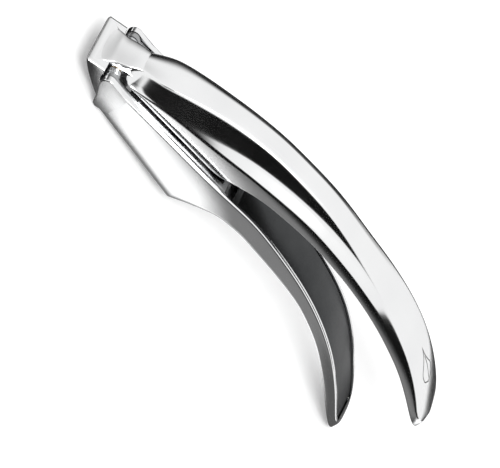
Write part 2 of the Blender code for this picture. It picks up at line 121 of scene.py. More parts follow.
SLOT = (16, 58)
SLOT_BOTTOM = -11
OUTLET = (12, 48)
OUTLET_TOP = -9
WINDOW = (18.2, 46.4)
WINDOW_TOP = -8
WINDOW_HALF_WIDTH = 8.2
THUMB_LIP_HALF_WIDTH = 6.5

# How far a cutter runs past the piece that it cuts
ABOVE = 12
BELOW = -30
ACROSS = 20
PAST_PLUNGER = 14
PAST_SEAT = 6

# Mesh and shading steps
GRID_STEP = 0.5
ROUND_SIDES = 64
SHARP_ANGLE = 38
HEAD_SHARP_ANGLE = 50
BEVEL_ANGLE = 40

# The outline drawn in thin lines on the upper handle's end
CLOVE_MIDDLE = 170.5
CLOVE_LENGTH = 7.0
CLOVE_HALF_WIDTH = 4.6
CLOVE_LINE = 0.4
CLOVE_LIFT = 0.02
CLOVE_DEPTH = 0.25

# The hopper and what lies in it
HOPPER_FRONT = (3.4, -14.0)
HOPPER_REAR = (51.7, -22.0)
BASKET_FLOOR_RISE = FLOOR_WALL + 0.35
LEDGE = 1.15
SIEVE_RISE = BASKET_FLOOR_RISE + LEDGE + GAP
SIEVE_THICKNESS = 1.0
PLUNGER_RISE = SIEVE_RISE + SIEVE_THICKNESS + 0.4
PLUNGER_PLATE = 3.0
SIEVE_FROM, SIEVE_TO = 15.8, 48.4
HOLE_RADIUS = 1.0
HOLE_PITCH = 3.4
COLUMN_PITCH = 3.0
HOLE_MIDDLE = 32.3
HOLE_COLUMNS = 9
LONG_ROW, SHORT_ROW = 5, 4

# The lower lever's section
LOWER_CORNER = 4.5
RIM_LIP = 0.8
SIDE_BOW = 0.25
BOW_FROM, BOW_OVER = 12, 18
BOW_MIDDLE = 0.45

# Heights and half widths along the levers
LOWER_RIM = [(3.4, 0), (75, 0), (93.4, -3.5), (119.8, -9.9), (139, -18.4), (154.7, -30.3),
             (166, -41.8), (178, -54.6)]
LOWER_BOTTOM = [(51.7, -22.0), (63, -14.8), (70.6, -11.4), (80, -11.2), (89, -12.6), (117, -16.2),
                (126, -19.2), (136, -23.9), (150, -34.2), (160, -42.7), (168, -49.2), (178, -57.2)]
LOWER_WIDTH = [(3.4, 16.39), (20, 16.38), (55, 16.2), (68, 15.2), (75, 14.5), (93, 12.2),
               (110, 11.6), (140, 12.3), (150, 12.0), (160, 11.4), (178, 10.6)]
HOPPER_WIDTH = [(7, 13.5), (20, 13.6), (50, 14.4), (60, 14.0), (67, 13.2)]
CROWN_RISE = [(7, 1.0), (20, 2.0), (60, 2.4), (120, 2.2), (150, 1.6), (171, 1.1), (190.5, 0.6)]
EDGE_WIDTH = [(7, 5.4), (9, 6.2), (15.4, 8.2), (26, 7.7), (40.3, 6.8), (67, 6.4), (111, 6.8), (129, 7.9),
              (146.4, 9.2), (163, 10.4), (190.5, 10.8)]
EDGE_HEIGHT = [(7, 6.8), (15.4, 11.4), (26, 15.6), (40.3, 20.0), (51.4, 22.4), (67.3, 24.4),
               (88.1, 24.3), (100, 23.0), (111.4, 20.8), (129, 17.0), (146.4, 11.5), (163, 3.4),
               (171, -1.6), (180, -8.8), (190.5, -18.8)]
CREASE_WIDTH = [(7, 10.2), (26, 10.6), (40, 9.4), (55, 8.0), (68.5, 7.2), (108.5, 7.4),
                (125, 8.4), (160, 10.9), (190.5, 11.2)]
CREASE_HEIGHT = [(7, 1.5), (26, 7.0), (40.4, 11.6), (55, 15.5), (68.5, 18.1), (83, 19.9),
                 (96.3, 20.2), (108.5, 19.0), (125, 16.2), (146.4, 10.2), (163, 2.4), (171, -2.4),
                 (180, -9.5), (190.5, -19.5)]
SHOULDER_WIDTH = [(7, 11), (150, 11), (165, 11.3), (190.5, 11.3)]
SHOULDER_HEIGHT = [(7, 0.9), (33, 7.0), (48.9, 9.4), (63.2, 12.5), (74.5, 14.0), (94.8, 16.1),
                   (119.5, 14.0), (138.6, 9.3), (157.9, 3.4), (171, -3.2), (180, -10.2),
                   (190.5, -20.2)]
UPPER_BOTTOM = [(7, 0.4), (56, 0.4), (62.8, 3.7), (78.9, 8.6), (100.5, 10.4), (116.8, 9.2),
                (134.1, 6.2), (159.3, -2.2), (169.2, -7.4), (181, -15.2), (190.5, -21.9)]
RIDGE_WIDTH = [(-10.5, 9.5), (-8, 9.5), (-5.5, 8.9), (-3.2, 7.6), (-1, 7.4), (2, 6.9), (5, 5.8),
               (7, 5.6), (9, 6.1)]
RIDGE_HEIGHT = [(-10.5, -1.8), (-8, -0.95), (-4.8, 0.7), (0, 3.3), (5, 5.9), (7, 6.6), (9, 7.6)]
RIDGE_FROM, RIDGE_TO = -10.5, 9
RIDGE_RISE, RIDGE_RISE_SLOPE = 0.9, 0.16
RIDGE_DEPTH, RIDGE_FRONT_DEPTH, RIDGE_DEPTH_SLOPE = 3.4, 2.0, 0.3
CROWN_PART = 0.84
EDGE_ROUND, CREASE_ROUND, SHOULDER_ROUND, FOOT_ROUND = 1.4, 1.6, 0.9, 0.7
LEAST_SIDE = 0.5
UPPER_TIP = (177.0, 188.55)
LOWER_TIP = (162.5, 172.15)
TIP_POWER = 3.2
LEVER_FRONT = 4.2
FRONT_TAPER = 3.4
FRONT_SHARE = 0.72

# Outlines of the head, neck, ears, lugs, hopper, basket, plunger and clove
HEAD_TOP_AND_NOSE = [(-4.4, 0.1), (-11.4, -1.8), (-12.3, -2.5), (-12.2, -3.2), (-11.1, -4.3),
                     (-7.5, -7.1), (-0.85, -11.1), (3.35, -12.9)]
HEAD_CORNER = 2.0
HEAD_TOP_DRAW = (0.1, -0.45)
NOSE_DRAW = (0.55, 0.2)
NECK = [(-9, -3.4), (-4.6, -0.3), (0, 1.0), (9.5, 3.9), (9.5, 0.9), (8.6, -1.5), (6.6, -6.2),
        (4.8, -9.6), (2.6, -12.2), (-0.85, -10.6), (-7, -6.4)]
POCKET_RADIUS = 3.9
EAR_RADIUS = 3.1
EAR_FRONT = [(1.7, -10.2), (2.7, -13.0)]
EAR_MIDDLE = (6.0, -7.0)
EAR_REAR = 10
EAR_BLEND = 3.0
EAR_EDGE = 0.6
EAR_OVERLAP = 0.6
LUG_RADIUS = 3.0
LUG_ARM = [(1.0, -5.13), (8, -4.2), (15.4, -3.8), (15.4, -0.7), (3.6, -0.55)]
HOPPER_FLOOR = (7, 20, 35, 50.5)
HOPPER_BACK = [(56, -15.1), (61.8, -11.2), (67, -7.4)]
MOUTH_DEPTH = (-12, 7.6)
BASKET_FRONT, BASKET_REAR = 14.2, 49.6
BASKET_WALL = 1.2
BASKET_TOP = -0.5
BASKET_RIM = [(14.0, -0.4), (14.0, -1.6), (62.8, -1.6), (62.8, -0.4)]
THUMB_LIP = [(61.9, -0.45), (61.9, -1.55), (64, -1.4), (66.2, 0.2), (66.6, 1.3), (65.6, 1.5),
             (63.8, -0.1)]
BASKET_BACK = [(60.2, -11.2), (61.7, -8.5)]
PLATE_BEND = 48
PLATE_HEEL = [(55.5, -9.6), (57.0, -7.4), (57.0, -5.4), (PLATE_BEND, -11.4)]
STEM_FOOT = (27, 45)
CLOVE_HALF = [(-1, 0.0), (-0.55, 0.10), (-0.2, 0.42), (0.25, 0.98), (0.7, 0.8), (0.92, 0.0)]


def smooth(points, blur=6.0):
    """A function of x close to the points: a cubic with no overshoot, then softened over blur mm."""
    xs, ys = np.array(points, float).T
    steps = np.diff(ys) / np.diff(xs)
    before, after = steps[:-1], steps[1:]
    total = np.where(before * after > 0, before + after, 1)
    slopes = np.where(before * after > 0, 2 * before * after / total, 0)
    slopes = np.concatenate([steps[:1], slopes, steps[-1:]])
    grid = np.arange(xs[0] - 4 * blur, xs[-1] + 4 * blur, GRID_STEP)
    i = np.clip(np.searchsorted(xs, grid) - 1, 0, len(xs) - 2)
    span = xs[i + 1] - xs[i]
    t = np.clip((grid - xs[i]) / span, 0, 1)
    values = ((2 * t ** 3 - 3 * t ** 2 + 1) * ys[i] + (t ** 3 - 2 * t ** 2 + t) * span * slopes[i]
              + (3 * t ** 2 - 2 * t ** 3) * ys[i + 1] + (t ** 3 - t ** 2) * span * slopes[i + 1])
    values += np.minimum(grid - xs[0], 0) * slopes[0] + np.maximum(grid - xs[-1], 0) * slopes[-1]
    reach = np.arange(-3 * blur, 3 * blur + GRID_STEP, GRID_STEP)
    kernel = np.exp(-0.5 * (reach / blur) ** 2)
    soft = np.convolve(values, kernel / kernel.sum(), mode="same")
    return lambda x: float(np.interp(x, grid, soft))


def tip_round(x, tip):
    """How much of the full width is left where a handle's end rounds off in plan."""
    start, end = tip
    t = min(max((x - start) / (end - start), 0.0), 1.0)
    return (1 - t ** TIP_POWER) ** (1 / TIP_POWER)


lower_rim = smooth(LOWER_RIM)
rear_bottom = smooth(LOWER_BOTTOM, 2.5)
lower_full_width = smooth(LOWER_WIDTH)
hopper_width = smooth(HOPPER_WIDTH)
crown_rise = smooth(CROWN_RISE)
edge_full_width = smooth(EDGE_WIDTH, 2.5)
edge_height = smooth(EDGE_HEIGHT)
crease_full_width = smooth(CREASE_WIDTH)
crease_height = smooth(CREASE_HEIGHT)
shoulder_full_width = smooth(SHOULDER_WIDTH)
shoulder_height = smooth(SHOULDER_HEIGHT)
upper_bottom = smooth(UPPER_BOTTOM, 3.0)
ridge_width = smooth(RIDGE_WIDTH, 0.7)
ridge_height = smooth(RIDGE_HEIGHT, 0.7)


def lower_width(x):
    return lower_full_width(x) * tip_round(x, LOWER_TIP)


def edge_width(x):
    return edge_full_width(x) * tip_round(x, UPPER_TIP)


def front_taper(x):
    """How much of the full width is left where the upper lever narrows to its neck."""
    t = min(max((x - LEVER_FRONT) / FRONT_TAPER, 0.0), 1.0)
    return FRONT_SHARE + (1 - FRONT_SHARE) * math.sin(t * math.pi / 2)


def crease_width(x):
    return crease_full_width(x) * tip_round(x, UPPER_TIP) * front_taper(x)


def shoulder_width(x):
    return shoulder_full_width(x) * tip_round(x, UPPER_TIP) * front_taper(x)


def hopper_line(x, rise=0.0):
    """The hopper's straight bottom, or a layer this far above it."""
    slope = (HOPPER_REAR[1] - HOPPER_FRONT[1]) / (HOPPER_REAR[0] - HOPPER_FRONT[0])
    return HOPPER_FRONT[1] + slope * (x - HOPPER_FRONT[0]) + rise


def lower_bottom(x):
    return hopper_line(x) if x <= HOPPER_REAR[0] else rear_bottom(x)


# ---------------------------------------------------------------- mesh tools
def spaced(first, last, count):
    return [first + (last - first) * i / (count - 1) for i in range(count)]


def arc(centre, radius, start, end, count):
    angles = [math.radians(a) for a in spaced(start, end, count)]
    return [(centre[0] + radius * math.cos(a), centre[1] + radius * math.sin(a)) for a in angles]


def rounded(points, radii, steps=4):
    """An open chain of points with its inner corners rounded off."""
    chain = [points[0]]
    for i in range(1, len(points) - 1):
        before, corner, after = (np.array(points[k], float) for k in (i - 1, i, i + 1))
        back, forth = before - corner, after - corner
        reach_back = min(radii[i], 0.45 * np.linalg.norm(back))
        reach_forth = min(radii[i], 0.45 * np.linalg.norm(forth))
        start = corner + back / np.linalg.norm(back) * reach_back
        end = corner + forth / np.linalg.norm(forth) * reach_forth
        for t in spaced(0, 1, steps + 1):
            chain.append(tuple((1 - t) ** 2 * start + 2 * t * (1 - t) * corner + t ** 2 * end))
    chain.append(points[-1])
    return chain


def mesh_object(name, shape, sharp=SHARP_ANGLE):
    bmesh.ops.recalc_face_normals(shape, faces=shape.faces)
    bmesh.ops.transform(shape, matrix=DRAWING, verts=shape.verts)
    mesh = bpy.data.meshes.new(name)
    shape.to_mesh(mesh)
    shape.free()
    mesh.shade_smooth()
    mesh.set_sharp_from_angle(angle=math.radians(sharp))
    obj = bpy.data.objects.new(name, mesh)
    bpy.context.scene.collection.objects.link(obj)
    return obj


def loft(name, loops, sharp=SHARP_ANGLE):
    """A closed skin through loops of equal length, with flat ends."""
    shape = bmesh.new()
    rings = [[shape.verts.new(point) for point in loop] for loop in loops]
    count = len(rings[0])
    for first, second in zip(rings, rings[1:]):
        for i in range(count):
            j = (i + 1) % count
            shape.faces.new((first[i], first[j], second[j], second[i]))
    shape.faces.new(rings[0])
    shape.faces.new(rings[-1])
    return mesh_object(name, shape, sharp)


def plate(name, outline, low, high):
    """A flat-sided piece: a side outline carried across the press from low to high."""
    return loft(name, [[(x, y, z) for x, z in outline] for y in (low, high)])


def both_ways(x, half):
    """A closed section at x from its half, mirrored to the other side."""
    mirrored = [(y, z) for y, z in reversed(half) if y > 1e-6]
    return [(x, y, z) for y, z in half] + [(x, -y, z) for y, z in mirrored]


def box_section(x, half_width, low, high, corner=0.4):
    """A rectangular section whose corners are slightly round."""
    middle = (low + high) / 2
    half = rounded([(0, high), (half_width, high), (half_width, middle), (half_width, low), (0, low)],
                   [0, corner, 0, corner, 0], 3)
    return both_ways(x, half)


def circle(at, radius):
    return arc(at, radius, 0, 360 * (1 - 1 / ROUND_SIDES), ROUND_SIDES)


def upright(ends, top):
    """The side outline of a cutter that runs down from this height."""
    return [(ends[0], top), (ends[0], BELOW), (ends[1], BELOW), (ends[1], top)]


def rod(name, at, radius, low, high):
    return plate(name, circle(at, radius), low, high)


def turned(name, at, profile):
    """A piece turned about a pin axis, from its (radius, y) profile, closed at both ends."""
    loops = [[(x, y, z) for x, z in circle(at, max(radius, 0.02))] for radius, y in profile]
    return loft(name, loops)


def apply_all(obj):
    """Fix an object's modifiers into its mesh, and its shading with them."""
    graph = bpy.context.evaluated_depsgraph_get()
    mesh = bpy.data.meshes.new_from_object(obj.evaluated_get(graph))
    obj.modifiers.clear()
    obj.data = mesh
    mesh.shade_smooth()
    mesh.set_sharp_from_angle(angle=math.radians(SHARP_ANGLE))


def soften(obj, width, segments=3):
    """Round off an object's edges, width in millimetres."""
    bevel = obj.modifiers.new("bevel", "BEVEL")
    bevel.width = width * MM
    bevel.segments = segments
    bevel.limit_method = "ANGLE"
    bevel.angle_limit = math.radians(BEVEL_ANGLE)
    apply_all(obj)
    return obj


def combine(obj, others, operation):
    """Join the others to an object, or cut them from it, and remove them."""
    for other in others:
        boolean = obj.modifiers.new(other.name, "BOOLEAN")
        boolean.operation = operation
        boolean.solver = "EXACT"
        boolean.object = other
    apply_all(obj)
    for other in others:
        bpy.data.objects.remove(other, do_unlink=True)


# ---------------------------------------------------------------- materials
def new_material(name, colour, roughness, metallic=1.0):
    made = bpy.data.materials.new(name)
    made.use_nodes = True
    shader = made.node_tree.nodes["Principled BSDF"]
    shader.inputs["Base Color"].default_value = (*colour, 1)
    shader.inputs["Roughness"].default_value = roughness
    shader.inputs["Metallic"].default_value = metallic
    return made, made.node_tree, shader


def texture(tree, kind, scale, stretch=(1, 1, 1), **settings):
    """A procedural texture in object space, its scale multiplied along each axis."""
    place = tree.nodes.new("ShaderNodeTexCoord")
    mapping = tree.nodes.new("ShaderNodeMapping")
    mapping.inputs["Scale"].default_value = stretch
    node = tree.nodes.new(kind)
    node.inputs["Scale"].default_value = scale
    for key, value in settings.items():
        node.inputs[key].default_value = value
    tree.links.new(place.outputs["Object"], mapping.inputs["Vector"])
    tree.links.new(mapping.outputs["Vector"], node.inputs["Vector"])
    return node


def ramp(tree, source, low, high, start=0.3, end=0.7):
    node = tree.nodes.new("ShaderNodeMapRange")
    node.inputs["From Min"].default_value = start
    node.inputs["From Max"].default_value = end
    node.inputs["To Min"].default_value = low
    node.inputs["To Max"].default_value = high
    tree.links.new(source, node.inputs["Value"])
    return node.outputs["Result"]


def colour_between(tree, source, first, second, start=0.3, end=0.7):
    node = tree.nodes.new("ShaderNodeValToRGB")
    node.color_ramp.elements[0].position = start
    node.color_ramp.elements[0].color = (*first, 1)
    node.color_ramp.elements[1].position = end
    node.color_ramp.elements[1].color = (*second, 1)
    tree.links.new(source, node.inputs["Fac"])
    return node.outputs["Color"]


def bump(tree, shader, source, strength, distance):
    node = tree.nodes.new("ShaderNodeBump")
    node.inputs["Strength"].default_value = strength
    node.inputs["Distance"].default_value = distance
    tree.links.new(source, node.inputs["Height"])
    tree.links.new(node.outputs["Normal"], shader.inputs["Normal"])


def polished_chrome():
    """Mirror chrome with faint buffing lines and an uneven haze."""
    made, tree, shader = new_material("polished_chrome", (0.91, 0.915, 0.92), 0.14)
    haze = texture(tree, "ShaderNodeTexNoise", 38, Detail=3.0, Roughness=0.5)
    tone = colour_between(tree, haze.outputs["Fac"], (0.88, 0.885, 0.89), (0.94, 0.943, 0.945))
    tree.links.new(tone, shader.inputs["Base Color"])
    buffing = texture(tree, "ShaderNodeTexNoise", 900, (0.12, 1, 1), Detail=2.0)
    tree.links.new(ramp(tree, haze.outputs["Fac"], 0.12, 0.17), shader.inputs["Roughness"])
    bump(tree, shader, buffing.outputs["Fac"], 0.02, 0.00002)
    return made


def satin_chrome():
    """Darker chrome of the let-in plates, near black: painted shade for the handles' dark inner faces."""
    # The near-black base colour is painted shade, with an uneven cloud and grain over it
    made, tree, shader = new_material("satin_chrome", (0.052, 0.054, 0.056), 0.32)
    cloud = texture(tree, "ShaderNodeTexNoise", 60, Detail=4.0)
    tone = colour_between(tree, cloud.outputs["Fac"], (0.042, 0.044, 0.046), (0.066, 0.068, 0.07))
    tree.links.new(tone, shader.inputs["Base Color"])
    grain = texture(tree, "ShaderNodeTexNoise", 4200, Detail=2.0)
    tree.links.new(ramp(tree, grain.outputs["Fac"], 0.26, 0.38), shader.inputs["Roughness"])
    bump(tree, shader, grain.outputs["Fac"], 0.12, 0.00004)
    return made


def stainless_steel():
    """Fine turned and brushed stainless steel."""
    made, tree, shader = new_material("stainless_steel", (0.62, 0.63, 0.64), 0.25)
    lines = texture(tree, "ShaderNodeTexNoise", 1500, (1, 0.06, 1), Detail=3.0)
    tone = colour_between(tree, lines.outputs["Fac"], (0.56, 0.57, 0.58), (0.68, 0.69, 0.70))
    tree.links.new(tone, shader.inputs["Base Color"])
    tree.links.new(ramp(tree, lines.outputs["Fac"], 0.18, 0.32), shader.inputs["Roughness"])
    bump(tree, shader, lines.outputs["Fac"], 0.08, 0.00003)
    return made


def cast_steel():
    """Tumbled casting: soft pits and a broken sheen."""
    made, tree, shader = new_material("cast_steel", (0.42, 0.425, 0.43), 0.3)
    cloud = texture(tree, "ShaderNodeTexNoise", 180, Detail=5.0)
    tone = colour_between(tree, cloud.outputs["Fac"], (0.36, 0.365, 0.37), (0.50, 0.505, 0.51))
    tree.links.new(tone, shader.inputs["Base Color"])
    pits = texture(tree, "ShaderNodeTexVoronoi", 1600)
    tree.links.new(ramp(tree, cloud.outputs["Fac"], 0.2, 0.4), shader.inputs["Roughness"])
    bump(tree, shader, pits.outputs["Distance"], 0.1, 0.00004)
    return made


def bronze():
    made, tree, shader = new_material("bronze", (0.55, 0.38, 0.18), 0.4)
    cloud = texture(tree, "ShaderNodeTexNoise", 400, Detail=4.0)
    tone = colour_between(tree, cloud.outputs["Fac"], (0.46, 0.30, 0.13), (0.62, 0.44, 0.22))
    tree.links.new(tone, shader.inputs["Base Color"])
    tree.links.new(ramp(tree, cloud.outputs["Fac"], 0.3, 0.5), shader.inputs["Roughness"])
    return made


def etched_line():
    """Dull, dark grey of a fine etched line."""
    made, tree, shader = new_material("etched_line", (0.05, 0.05, 0.05), 0.6)
    cloud = texture(tree, "ShaderNodeTexNoise", 900, Detail=3.0)
    tone = colour_between(tree, cloud.outputs["Fac"], (0.03, 0.03, 0.03), (0.07, 0.07, 0.07))
    tree.links.new(tone, shader.inputs["Base Color"])
    tree.links.new(ramp(tree, cloud.outputs["Fac"], 0.5, 0.7), shader.inputs["Roughness"])
    return made


finishes = {make.__name__: make() for make in
            (polished_chrome, satin_chrome, stainless_steel, cast_steel, bronze, etched_line)}
slot_of = {part["node"]: part["material_slot"] for part in frame["record"]["subparts"]}
body_of_node = {node: body for body, nodes in frame["record"]["behaviour"]["bodies"].items()
                for node in nodes}


def stands_for(obj, node):
    """This piece takes the node's place: its body, slot and finish."""
    obj.data.materials.clear()
    obj.data.materials.append(finishes[slot_of[node]])
    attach(obj, body_of_node[node])
    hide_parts(node)


# ---------------------------------------------------------------- lower lever
def lower_section(x):
    """The lower lever's section: a rounded bottom, slightly bowed sides and a softened rim."""
    width, rim, bottom = lower_width(x), lower_rim(x), lower_bottom(x)
    height = rim - bottom
    corner = min(LOWER_CORNER, 0.5 * height, 0.6 * width)
    lip = min(RIM_LIP, 0.2 * height, 0.4 * width)
    bow = min(SIDE_BOW, 0.02 * height) * min(1.0, max(0.0, (x - BOW_FROM) / BOW_OVER))
    middle = rim - BOW_MIDDLE * height
    half = rounded([(0, rim), (width - bow, rim), (width, middle), (width - bow, bottom), (0, bottom)],
                   [0, lip, 0.4 * height, corner, 0], 8)
    return both_ways(x, half)


def tip_stations(tip, count):
    """Stations along a rounding end, closer together towards it."""
    start, end = tip
    return [start + (end - start) * math.sin(a) for a in spaced(0.05, 1.5, count)]


def ear(name, side):
    """One hinge ear: round over the pin, with a slanted front edge down to the hopper's bottom."""
    outline = arc(HINGE_AT, EAR_RADIUS, 75, 210, 40)
    outline += rounded([outline[-1], *EAR_FRONT, (4.0, hopper_line(4.0) + 0.1),
                        (EAR_REAR, hopper_line(EAR_REAR) + 3.4)], [0, 1.5, 2, 1, 0])[1:]
    outline += [(EAR_REAR, -0.4)]
    layers = [(EAR_INNER - EAR_OVERLAP, 0)]
    for angle in spaced(0, math.pi / 2, 8):
        layers.append((EAR_OUTER - EAR_EDGE * (1 - math.sin(angle)), EAR_EDGE * (1 - math.cos(angle))))
    loops = []
    for y, inset in layers:
        loop = []
        for point in outline:
            inward = np.array(EAR_MIDDLE) - np.array(point)
            share = min(1.0, max(0.0, (EAR_REAR - point[0]) / EAR_BLEND))
            x, z = np.array(point) + inward / np.linalg.norm(inward) * inset * share
            loop.append((x, side * y, z))
        loops.append(loop)
    return loft(name, loops)


def make_lower_lever():
    stations = spaced(3.4, HOPPER_REAR[0] - 1, 24) + spaced(HOPPER_REAR[0], 72, 30)
    stations += spaced(73, LOWER_TIP[0], 70) + tip_stations(LOWER_TIP, 26)
    lever = loft("lower_lever_skin", [lower_section(x) for x in stations])
    combine(lever, [ear("near_ear", -1), ear("far_ear", 1)], "UNION")

    inside = [(x, hopper_line(x, FLOOR_WALL)) for x in HOPPER_FLOOR] + HOPPER_BACK
    hopper = loft("hopper_space", [box_section(x, hopper_width(x), z, ABOVE, 1.2) for x, z in inside])
    front = plate("hopper_mouth", upright(MOUTH_DEPTH, ABOVE), -EAR_INNER, EAR_INNER)
    outlet = soften(plate("outlet_space", upright(OUTLET, OUTLET_TOP),
                          -OUTLET_HALF_WIDTH, OUTLET_HALF_WIDTH), 1.5)
    seat = [box_section(x, lower_width(x) - HANDLE_WALL, lower_rim(x) - SEAT_DEPTH,
                        lower_rim(x) + PAST_SEAT)
            for x in spaced(*LOWER_SEAT, 70)]
    hollow = [box_section(x, lower_width(x) - 2 * HANDLE_WALL, lower_bottom(x) + LOWER_HOLLOW_FLOOR,
                          lower_rim(x) - LOWER_HOLLOW_ROOF) for x in spaced(*LOWER_HOLLOW, 40)]
    combine(lever, [hopper, front, outlet, loft("lower_seat_space", seat),
                    loft("lower_hollow_space", hollow),
                    rod("ear_bore", HINGE_AT, HINGE_BORE_RADIUS, HINGE_BLIND_END, ACROSS),
                    rod("cap_seat", HINGE_AT, CAP_RADIUS + GAP, CAP_SEAT, ACROSS)], "DIFFERENCE")
    stands_for(lever, "lower_lever")


def make_insert(name, node, width, surface, ends, direction):
    """A thin plate let into a handle, following its surface from just inside it."""
    loops = []
    for x in spaced(ends[0] + GAP, ends[1] - GAP, 80):
        near = surface(x) + direction * INSERT_DEPTH
        deep = near + direction * INSERT_THICKNESS
        loops.append(box_section(x, width(x) - HANDLE_WALL - GAP, min(near, deep), max(near, deep),
                                 0.25))
    stands_for(loft(name, loops), node)


# ---------------------------------------------------------------- upper lever
def upper_section(x):
    """The upper lever's section: a crown, an edge, a crease, a sloping shoulder and an upright side."""
    edge, top, rise = edge_width(x), edge_height(x), crown_rise(x)
    shoulder, bottom = shoulder_width(x), upper_bottom(x)
    low = max(shoulder_height(x), bottom + LEAST_SIDE)
    crown = [(edge * part, top + rise * (1 - part ** 2)) for part in spaced(0, CROWN_PART, 8)]
    corners = [crown[-1], (edge, top), (crease_width(x), max(crease_height(x), low + LEAST_SIDE)),
               (shoulder, low), (shoulder, bottom), (0, bottom)]
    small = tip_round(x, UPPER_TIP)
    radii = [0, EDGE_ROUND * small, CREASE_ROUND * small, SHOULDER_ROUND * small, FOOT_ROUND * small, 0]
    sides = rounded(corners, radii, 6)
    return both_ways(x, crown[:-1] + sides)


def ridge_section(x):
    """The section of the raised ridge where it rises out of the head."""
    edge, top = ridge_width(x), ridge_height(x)
    rise = min(RIDGE_RISE, RIDGE_RISE_SLOPE * (x - RIDGE_FROM))
    crown = [(edge * part, top + rise * (1 - part ** 2)) for part in spaced(0, CROWN_PART, 6)]
    bottom = top - min(RIDGE_DEPTH, RIDGE_FRONT_DEPTH + RIDGE_DEPTH_SLOPE * (x - RIDGE_FROM))
    sides = rounded([crown[-1], (edge, top), (edge, bottom), (0, bottom)], [0, 0.6, 0, 0])
    return both_ways(x, crown[:-1] + sides)


def head_outline(y):
    """The head's side outline, drawn in where its outer corners round off."""
    over = max(0.0, abs(y) - (HEAD_HALF_WIDTH - HEAD_CORNER))
    inset = HEAD_CORNER - math.sqrt(max(0.0, HEAD_CORNER ** 2 - over ** 2))
    top, nose = HEAD_TOP_AND_NOSE[:2], HEAD_TOP_AND_NOSE[2:]
    outline = [(x + HEAD_TOP_DRAW[0] * inset, z + HEAD_TOP_DRAW[1] * inset) for x, z in top]
    outline += [(x + NOSE_DRAW[0] * inset, z + NOSE_DRAW[1] * inset) for x, z in nose]
    return rounded(outline, [0, 1.5, 1, 1, 2, 3, 3, 0], 6) + arc(HINGE_AT, POCKET_RADIUS, 250, 172, 24)


def make_upper_lever():
    stations = spaced(LEVER_FRONT, 8, 12) + spaced(9, 26, 22)
    stations += spaced(27, UPPER_TIP[0] - 1, 130) + tip_stations(UPPER_TIP, 34)
    lever = loft("upper_lever_skin", [upper_section(x) for x in stations])

    flat = HEAD_HALF_WIDTH - HEAD_CORNER
    half = [flat + HEAD_CORNER * math.sin(a) for a in spaced(0, math.pi / 2, 14)]
    across = [-y for y in reversed(half)] + half
    head = loft("head_block", [[(x, y, z) for x, z in head_outline(y)] for y in across],
                HEAD_SHARP_ANGLE)
    neck = plate("neck", NECK, -NECK_HALF_WIDTH, NECK_HALF_WIDTH)
    ridge = loft("ridge", [ridge_section(x) for x in spaced(RIDGE_FROM, RIDGE_TO, 40)])
    combine(lever, [neck, head, ridge], "UNION")

    bay = [box_section(x, BAY_HALF_WIDTH, BAY_BOTTOM, shoulder_height(x) + BAY_RISE)
           for x in spaced(*BAY, 20)]
    slot = [box_section(x, SLOT_HALF_WIDTH, SLOT_BOTTOM, edge_height(x) - SLOT_ROOF)
            for x in spaced(*SLOT, 20)]
    seat = [box_section(x, shoulder_width(x) - HANDLE_WALL, upper_bottom(x) - PAST_SEAT,
                        upper_bottom(x) + SEAT_DEPTH) for x in spaced(*UPPER_SEAT, 70)]
    hollow = [box_section(x, HOLLOW_HALF_WIDTH, upper_bottom(x) + UPPER_HOLLOW_FLOOR,
                          edge_height(x) - UPPER_HOLLOW_ROOF) for x in spaced(*UPPER_HOLLOW, 40)]
    combine(lever, [loft("plunger_bay", bay), loft("stem_slot", slot), loft("upper_seat", seat),
                    loft("upper_hollow", hollow),
                    rod("neck_bore", HINGE_AT, HINGE_BORE_RADIUS + BUSH_WALL + GAP, -ACROSS, ACROSS),
                    rod("pin_bore", PLUNGER_PIN_AT, PLUNGER_PIN_RADIUS + GAP, PLUNGER_BORE_END,
                        PAST_PLUNGER)],
            "DIFFERENCE")
    stands_for(lever, "upper_lever")


def drawn_line(name, line, closed):
    """A thin line laid on the upper handle's crown, from its points about CLOVE_MIDDLE."""
    shape = bmesh.new()
    rings = []
    for i, (u, v) in enumerate(line):
        after = line[(i + 1) % len(line)] if closed or i + 1 < len(line) else line[i]
        before = line[i - 1] if closed or i else line[i]
        along = np.array([after[0] - before[0], after[1] - before[1]])
        along = along / max(np.linalg.norm(along), 1e-6)
        across = np.array([-along[1], along[0]]) * CLOVE_LINE / 2
        ring = []
        for sign, lift in ((-1, CLOVE_LIFT), (1, CLOVE_LIFT), (1, -CLOVE_DEPTH), (-1, -CLOVE_DEPTH)):
            x, y = CLOVE_MIDDLE + u + sign * across[0], v + sign * across[1]
            z = edge_height(x) + crown_rise(x) * (1 - (y / edge_width(x)) ** 2)
            ring.append(shape.verts.new((x, y, z + lift)))
        rings.append(ring)
    pairs = list(zip(rings, rings[1:])) + ([(rings[-1], rings[0])] if closed else [])
    for first, second in pairs:
        for i in range(4):
            j = (i + 1) % 4
            shape.faces.new((first[i], first[j], second[j], second[i]))
    if not closed:
        shape.faces.new(rings[0])
        shape.faces.new(rings[-1])
    mark = mesh_object(name, shape)
    mark.data.materials.append(finishes["etched_line"])
    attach(mark, body_of_node["upper_lever"])


def make_clove_mark():
    """A plain garlic-clove outline close to the upper handle's end, with one seam inside it."""
    side = [(CLOVE_LENGTH * u, CLOVE_HALF_WIDTH * v) for u, v in CLOVE_HALF]
    half = rounded(side, [0, 1.2, 1.2, 1.2, 1.2, 0], 6)
    drawn_line("clove_mark_outline", half + [(u, -v) for u, v in reversed(half)][1:-1], True)
    seam = [(-0.45 * CLOVE_LENGTH, 0.3), (0.1 * CLOVE_LENGTH, 1.1), (0.78 * CLOVE_LENGTH, 0.5)]
    drawn_line("clove_mark_seam", rounded(seam, [0, 2.0, 0], 8), False)


